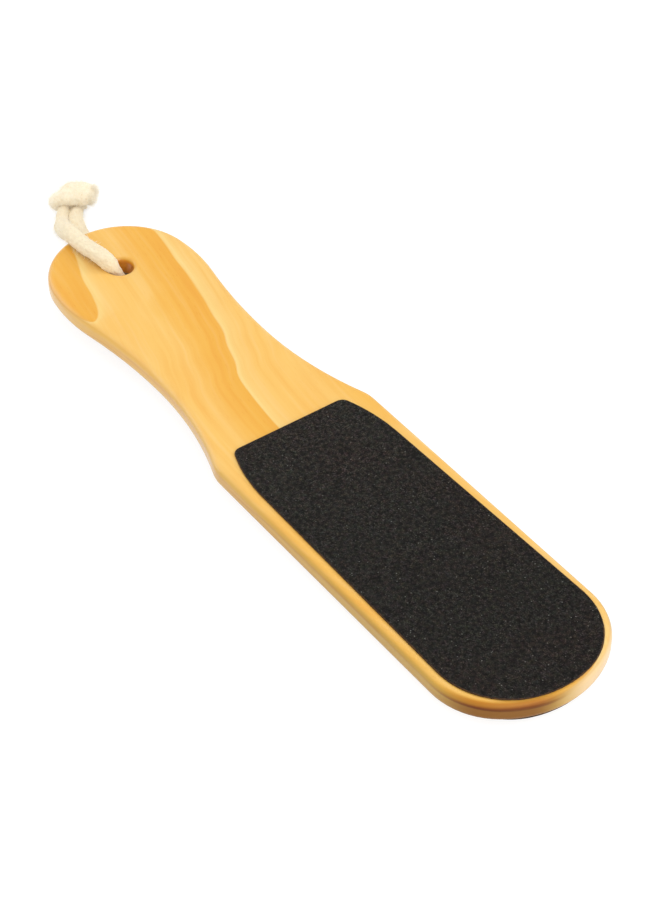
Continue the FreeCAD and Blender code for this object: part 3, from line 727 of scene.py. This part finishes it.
# The end grain at the tip is darker partly for its own colour and partly as painted shade, and its lower part
# is painted darker still, as shade.
painted_shade_down_tip = spread(tree, axes[2], 0.0068, 0.0046, 0.0, 1.0)
end_grain_and_shade_colour = blend_of(tree, "MIX", painted_shade_down_tip, END_GRAIN_AND_SHADE_TOP, END_GRAIN_AND_SHADE_LOW)
wood_colour = blend_of(tree, "MIX", sum_of(tree, "MULTIPLY", end_grain, 0.94), wood_colour, end_grain_and_shade_colour)
wood_colour = blend_of(tree, "MIX", sum_of(tree, "MULTIPLY", painted_tip_highlight, 0.80), wood_colour, TIP_PAINTED_HIGHLIGHT)
wood_colour = blend_of(tree, "MULTIPLY", late_line, wood_colour, LATE_WOOD)
ring_height = sum_of(tree, "ADD", axes[2], spread(tree, fade, 0.35, 0.65, -0.0005, 0.0005))
ring_off = sum_of(tree, "ABSOLUTE", sum_of(tree, "SUBTRACT", ring_height, TIP_RING_HEIGHT))
tip_ring = spread(tree, ring_off, 0.0009, 0.0002, 0.0, 1.0, smooth=True)
tip_ring = sum_of(tree, "MULTIPLY", tip_ring, at_tip(tree, axes, (0.100, 0.114), (0.002, -0.009)))
tip_ring = sum_of(tree, "MULTIPLY", tip_ring, spread(tree, band, 0.38, 0.58, 0.30, 1.0))
wood_colour = blend_of(tree, "MULTIPLY", tip_ring, wood_colour, TIP_RING_SHADE)

from_hole_x = sum_of(tree, "SUBTRACT", axes[0], HOLE_PLACE[0])
from_hole_y = sum_of(tree, "SUBTRACT", axes[1], HOLE_PLACE[1])
hole_way = new_node(tree, "CombineXYZ", sockets={0: from_hole_x, 1: from_hole_y}).outputs[0]
from_hole = new_node(tree, "VectorMath", operation="LENGTH", sockets={0: hole_way}).outputs["Value"]
# Inside the hang hole the wood is tinted a deeper orange: partly the end grain of the bore, partly painted
# warm bounce light between its walls.
in_hole = spread(tree, from_hole, HOLE_RADIUS + 0.0004, HOLE_RADIUS, 0.0, 1.0, smooth=True)
wood_colour = blend_of(tree, "MULTIPLY", in_hole, wood_colour, HOLE_GRAIN_AND_BOUNCE)
tree.links.new(wood_colour, shader.inputs["Base Color"])

tree.links.new(spread(tree, streak, 0.30, 0.75, 0.42, 0.56), shader.inputs["Roughness"])
side_lacquer = spread(tree, axes[0], -0.010, 0.030, 0.90, 0.50)
lacquer = spread(tree, side_grain, 0.0, 1.0, 0.21, side_lacquer)
lacquer = sum_of(tree, "MULTIPLY", lacquer, spread(tree, end_grain, 0.0, 1.0, 1.0, 0.08))
tree.links.new(lacquer, shader.inputs["Coat Weight"])
ripple = noise_of(tree, flat, 95.0)
surface = sum_of(tree, "ADD", sum_of(tree, "MULTIPLY", ripple, 0.7), sum_of(tree, "MULTIPLY", streak, 0.3))
sanded = new_node(tree, "Bump", sockets={"Strength": 0.10, "Distance": 0.0006, "Height": surface})
tree.links.new(sanded.outputs[0], shader.inputs["Normal"])

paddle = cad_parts["paddle"]
paddle.data.materials.clear()
paddle.data.materials.append(pine)


# The abrasive sheets, one on each face of the blade: clear adhesive film,
# black latex paper, and silicon carbide grain set in dark resin, coarse on
# the front and finer behind. Here and there a grain carries a painted glint.
# The film is coloured dark brown, and the resin and the glue stand as a thin
# dark brown bead along the cut edge: partly real glue, partly a painted
# shadow line where the sheets meet the wood.
GRITS = {
    "front_grit_coat": ("coarse_grit", 0.00046, 0.8),
    "rear_grit_coat": ("fine_grit", 0.00028, 0.6),
}
BEADS = {"front": (0.00029, max), "rear": (0.00022, min)}
FOLD_ANGLE = 1.2
RESIN = (0.0085, 0.0070, 0.0058, 1)
GRAIN = (0.042, 0.036, 0.032, 1)
PAINTED_GLINT = (0.16, 0.155, 0.145, 1)
DRIFT_WARM = (1.0, 0.93, 0.90, 1)
DRIFT_COOL = (0.94, 0.99, 0.95, 1)
PAPER_DARK = (0.010, 0.008, 0.007, 1)
PAPER_PALE = (0.030, 0.024, 0.019, 1)
FILM_BROWN_AND_SHADOW = (0.12, 0.060, 0.015, 1)
FILM_AMBER_AND_SHADOW = (0.30, 0.17, 0.05, 1)
BEAD_DARK = (0.022, 0.009, 0.003, 1)
BEAD_BROWN = (0.070, 0.030, 0.006, 1)

grain_bed = bpy.data.node_groups.new("grain_bed", "ShaderNodeTree")
group_socket(grain_bed, "Grain Size", "INPUT", "NodeSocketFloat", 0.0004)
group_socket(grain_bed, "Resin", "INPUT", "NodeSocketColor", RESIN)
group_socket(grain_bed, "Grain", "INPUT", "NodeSocketColor", GRAIN)
group_socket(grain_bed, "Colour", "OUTPUT", "NodeSocketColor")
group_socket(grain_bed, "Roughness", "OUTPUT")
group_socket(grain_bed, "Height", "OUTPUT")
given = grain_bed.nodes.new("NodeGroupInput").outputs
where = new_node(grain_bed, "TexCoord").outputs["Object"]
per_metre = sum_of(grain_bed, "DIVIDE", 1.0, given["Grain Size"])
grains = new_node(grain_bed, "TexVoronoi", sockets={"Vector": where, "Scale": per_metre})
lot = new_node(grain_bed, "SeparateColor", sockets={0: grains.outputs["Color"]}).outputs
clump = noise_of(grain_bed, where, 850.0, 3.0)
body = spread(grain_bed, grains.outputs["Distance"], 0.55, 0.15, 0.0, 1.0)
body = sum_of(grain_bed, "MULTIPLY", body, spread(grain_bed, lot[0], 0.1, 1.0, 0.15, 1.25))
colour = blend_of(grain_bed, "MIX", body, given["Resin"], given["Grain"])
hue = new_node(grain_bed, "TexNoise", sockets={"Vector": where, "Scale": 620.0, "Detail": 1.0})
colour = blend_of(grain_bed, "OVERLAY", 0.30, colour, hue.outputs["Color"])
clumps_and_sheen = spread(grain_bed, clump, 0.38, 0.62, 0.36, 1.66)
# Painted sheen: the grit is painted paler towards the heel end, as if light glanced off it there.
painted_sheen_run = new_node(grain_bed, "SeparateXYZ", sockets={0: where}).outputs[0]
clumps_and_sheen = sum_of(grain_bed, "MULTIPLY", clumps_and_sheen, spread(grain_bed, painted_sheen_run, -0.005, 0.07, 1.32, 1.0))
colour = new_node(grain_bed, "VectorMath", operation="SCALE", sockets={0: colour, "Scale": clumps_and_sheen}).outputs[0]
# Painted glints: a few grains are painted bright, as if a facet caught the light.
painted_glint = spread(grain_bed, lot[1], 0.982, 0.999, 0.0, 1.0)
whole_grain = spread(grain_bed, grains.outputs["Distance"], 0.50, 0.30, 0.0, 1.0)
painted_glint = sum_of(grain_bed, "MULTIPLY", painted_glint, whole_grain)
colour = blend_of(grain_bed, "MIX", painted_glint, colour, PAINTED_GLINT)
drift = noise_of(grain_bed, where, 34.0)
drift = spread(grain_bed, drift, 0.40, 0.60, 0.0, 1.0, smooth=True)
drift = blend_of(grain_bed, "MIX", drift, DRIFT_WARM, DRIFT_COOL)
colour = blend_of(grain_bed, "MULTIPLY", 1.0, colour, drift)
result = grain_bed.nodes.new("NodeGroupOutput").inputs
grain_bed.links.new(colour, result["Colour"])
grain_bed.links.new(spread(grain_bed, lot[2], 0.0, 1.0, 0.55, 0.90), result["Roughness"])
grain_bed.links.new(body, result["Height"])

for node, (finish, grain_size, depth) in GRITS.items():
    grit, tree, shader = new_material(finish)
    shader.inputs["Specular IOR Level"].default_value = 0.10
    bed = tree.nodes.new("ShaderNodeGroup")
    bed.node_tree = grain_bed
    bed.inputs["Grain Size"].default_value = grain_size
    relief = {"Strength": depth, "Distance": 0.0003, "Height": bed.outputs["Height"]}
    bump = new_node(tree, "Bump", sockets=relief)
    tree.links.new(bed.outputs["Colour"], shader.inputs["Base Color"])
    tree.links.new(bed.outputs["Roughness"], shader.inputs["Roughness"])
    tree.links.new(bump.outputs[0], shader.inputs["Normal"])
    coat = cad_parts[node]
    coat.data.materials.clear()
    coat.data.materials.append(grit)

paper, tree, shader = new_material("latex_paper")
shader.inputs["Roughness"].default_value = 0.8
where = new_node(tree, "TexCoord").outputs["Object"]
pulp = noise_of(tree, where, 2600.0, 4.0)
paper_colour = blend_of(tree, "MIX", pulp, PAPER_DARK, PAPER_PALE)
tree.links.new(paper_colour, shader.inputs["Base Color"])
bump = new_node(tree, "Bump", sockets={"Strength": 0.4, "Distance": 0.0001, "Height": pulp})
tree.links.new(bump.outputs[0], shader.inputs["Normal"])

# The film is coloured dark brown so that its cut edge shows as a brown line: partly the glue, partly a
# painted shadow along the sheet's edge.
film, tree, shader = new_material("adhesive_film")
shader.inputs["Roughness"].default_value = 0.3
where = new_node(tree, "TexCoord").outputs["Object"]
ooze = noise_of(tree, where, 700.0, 3.0)
film_and_shadow_colour = blend_of(tree, "MIX", ooze, FILM_BROWN_AND_SHADOW, FILM_AMBER_AND_SHADOW)
tree.links.new(film_and_shadow_colour, shader.inputs["Base Color"])


def sheet_edge(sheet, side_of):
    """The outline of a thin sheet's upper or lower face, point by point."""
    shape = bmesh.new()
    shape.from_mesh(sheet.data)
    bmesh.ops.remove_doubles(shape, verts=shape.verts, dist=1e-7)
    folds = {edge for edge in shape.edges if edge.calc_face_angle(0) > FOLD_ANGLE}
    vertex = side_of((edge.verts[0] for edge in folds), key=lambda corner: corner.co.z)
    outline = []
    while vertex is not None:
        outline.append(vertex.co.copy())
        ahead = [edge for edge in vertex.link_edges if edge in folds]
        folds.difference_update(ahead[:1])
        vertex = ahead[0].other_vert(vertex) if ahead else None
    shape.free()
    return outline


# The edge bead is partly the glue and resin at the cut edge and partly a painted shadow line where the sheets
# meet the wood.
bead_and_painted_shadow, tree, shader = new_material("bead_and_painted_shadow")
shader.inputs["Roughness"].default_value = 0.6
shader.inputs["Specular IOR Level"].default_value = 0.2
where = new_node(tree, "TexCoord").outputs["Object"]
dust = noise_of(tree, where, 700.0, 3.0)
dust = spread(tree, dust, 0.42, 0.64, 0.0, 1.0)
bead_colour = blend_of(tree, "MIX", dust, BEAD_DARK, BEAD_BROWN)
tree.links.new(bead_colour, shader.inputs["Base Color"])

for side, (thick, side_of) in BEADS.items():
    outline = sheet_edge(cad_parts[f"{side}_backing_sheet"], side_of)
    bead = bpy.data.curves.new(f"{side}_edge_bead_and_shadow", "CURVE")
    bead.dimensions = "3D"
    bead.bevel_depth = thick
    bead.bevel_resolution = 2
    run = bead.splines.new("POLY")
    run.points.add(len(outline) - 1)
    for point, place in zip(run.points, outline):
        point.co = (*place, 1)
        point.radius = 0.92 + 0.22 * noise.noise(place * 240) + 0.14 * noise.noise(place * 900)
    run.use_cyclic_u = True
    edge_bead_and_shadow = bpy.data.objects.new(f"{side}_edge_bead_and_shadow", bead)
    bpy.context.scene.collection.objects.link(edge_bead_and_shadow)
    bead.materials.append(bead_and_painted_shadow)
    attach(edge_bead_and_shadow, "file_body")
    for layer, finish in (("backing_sheet", paper), ("adhesive_film", film)):
        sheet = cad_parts[f"{side}_{layer}"]
        sheet.data.materials.clear()
        sheet.data.materials.append(finish)


# Table and light: a plain white table under a soft overhead light, with
# soft lights beyond the far edge and low down at either end of the file. The
# spot of table that shows through the hang hole has no glow of its own: a
# painted shadow under the handle.
TABLE_SIZE = 3.0
TABLE_WHITE = (0.80, 0.80, 0.80, 1)
TABLE_SEEN = (0.22, 0.22, 0.22, 1)
TABLE_GLOW = 0.86
AIR_GLOW = 0.63
PAINTED_SHADOW_SPOT = (-0.114, 0.006, 0.0)
PAINTED_SHADOW_REACH = (0.0045, 0.0070)


def seen_plainly(tree):
    """1 where the camera sees the background itself, in a mirror or through glass."""
    seen = new_node(tree, "LightPath").outputs
    shown = sum_of(tree, "MAXIMUM", seen["Is Camera Ray"], seen["Is Glossy Ray"])
    return sum_of(tree, "MAXIMUM", shown, seen["Is Transmission Ray"])


bpy.ops.mesh.primitive_plane_add(size=TABLE_SIZE, location=(0, 0, 0))
table = bpy.context.object
table.name = "table"
white, tree, shader = new_material("white_table")
shader.inputs["Roughness"].default_value = 0.9
shader.inputs["Specular IOR Level"].default_value = 0.0
shown = seen_plainly(tree)
tree.links.new(blend_of(tree, "MIX", shown, TABLE_WHITE, TABLE_SEEN), shader.inputs["Base Color"])
# Painted shadow: in a small disc under the hang hole the table's glow is taken away.
spot = new_node(tree, "TexCoord").outputs["Object"]
away = new_node(tree, "VectorMath", operation="DISTANCE", sockets={0: spot, 1: PAINTED_SHADOW_SPOT}).outputs["Value"]
shown = sum_of(tree, "MULTIPLY", shown, spread(tree, away, *PAINTED_SHADOW_REACH, 0.0, 1.0))
lift = new_node(tree, "Emission", sockets={0: (1, 1, 1, 1), 1: sum_of(tree, "MULTIPLY", shown, TABLE_GLOW)})
both = new_node(tree, "AddShader", sockets={0: shader.outputs[0], 1: lift.outputs[0]})
tree.links.new(both.outputs[0], tree.nodes["Material Output"].inputs[0])
table.data.materials.append(white)

world = bpy.data.worlds.new("studio")
bpy.context.scene.world = world
world.use_nodes = True
tree = world.node_tree
air = tree.nodes["Background"]
air.inputs[0].default_value = (1, 1, 1, 1)
tree.links.new(spread(tree, seen_plainly(tree), 0.0, 1.0, AIR_GLOW, 1.0), air.inputs[1])

LIGHTS = (
    ("overhead", (-0.15, 0.20, 1.30), 1.2, 5.4),
    ("far_side", (0.30, 1.00, 0.80), 0.8, 4.3),
    ("left_side", (-0.80, -0.42, 0.36), 0.7, 3.0),
    ("right_side", (1.10, -0.25, 0.45), 0.9, 6.2),
)
for name, place, size, power in LIGHTS:
    lamp = bpy.data.lights.new(name, "AREA")
    lamp.size = size
    lamp.energy = power
    lamp_object = bpy.data.objects.new(name, lamp)
    lamp_object.location = place
    lamp_object.rotation_euler = (-Vector(place)).to_track_quat("-Z", "Y").to_euler()
    bpy.context.scene.collection.objects.link(lamp_object)

bpy.context.scene.view_settings.view_transform = "Standard"
